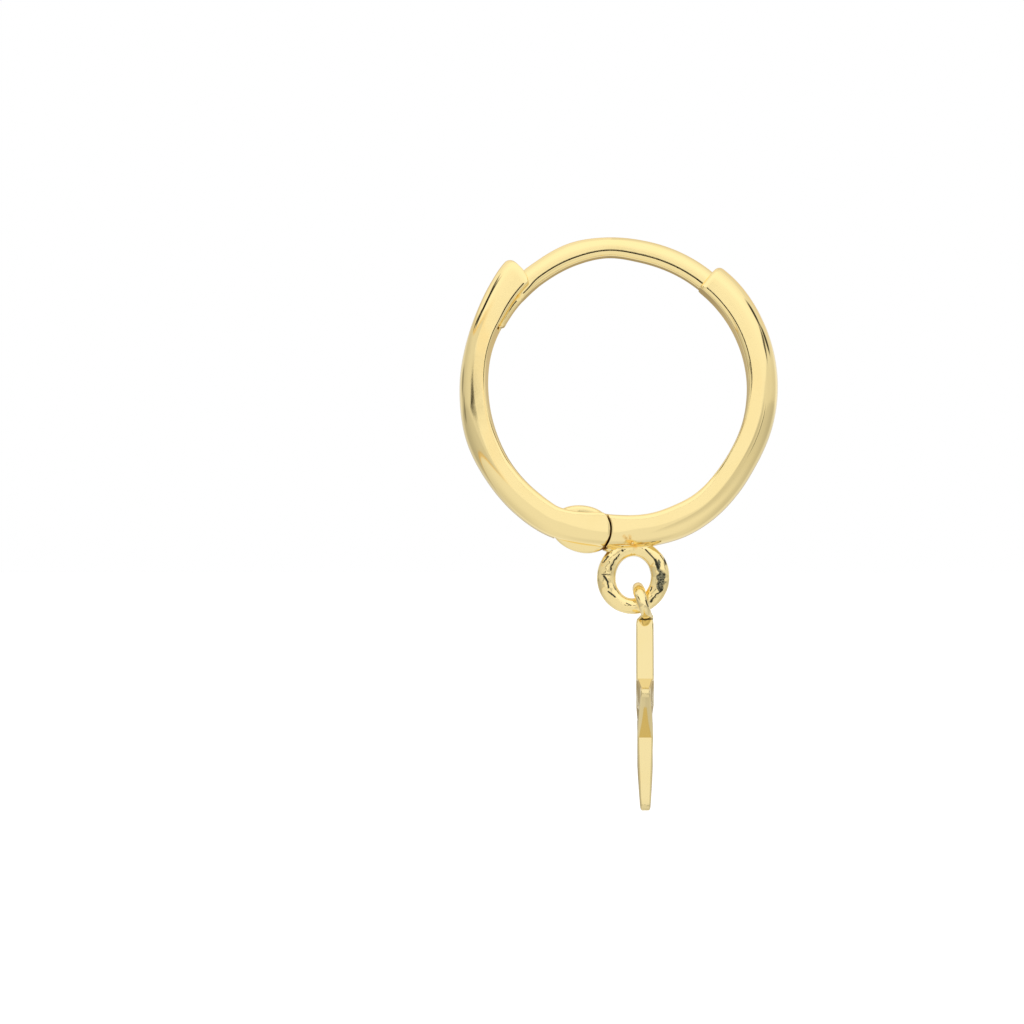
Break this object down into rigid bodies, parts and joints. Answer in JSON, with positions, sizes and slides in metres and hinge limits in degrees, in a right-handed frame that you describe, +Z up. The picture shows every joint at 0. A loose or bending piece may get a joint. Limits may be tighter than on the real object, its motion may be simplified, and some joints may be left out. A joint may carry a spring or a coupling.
{
  "type": "hinged hoop earring with star charm",
  "caption": "Small polished gold hoop earring that opens on a hinge, with a flat star charm hanging from a loop under the band.",
  "frame": {"origin": "middle of the ear wire at the top of the hoop, where it passes through the lobe", "axes": "+Z up, with the charm hanging towards -Z; the hoop lies in the XZ plane with the latch half towards -X; +Y along the hoop's axis"},
  "size_m": [0.012, 0.0074, 0.0211],
  "materials": {
    "hoop_gold": "high polish yellow gold",
    "star_gold": "high polish yellow gold, flat faces"
  },
  "bodies": {
    "hoop": {"wire_half": "hoop_gold"},
    "latch": {"latch_half": "hoop_gold", "hinge_pin": "hoop_gold"},
    "charm": {"star_charm": "star_gold"}
  },
  "joints": [
    {"name": "latch_hinge", "type": "hinge", "parent": "hoop", "child": "latch", "pos_m": [-0.00123, 0, -0.01054], "axis": [0, -1, 0], "range_deg": [0, 60]},
    {"name": "charm_swing", "type": "hinge", "parent": "hoop", "child": "charm", "pos_m": [0.00095, 0, -0.01327], "axis": [1, 0, 0], "range_deg": [-80, 80]}
  ]
}
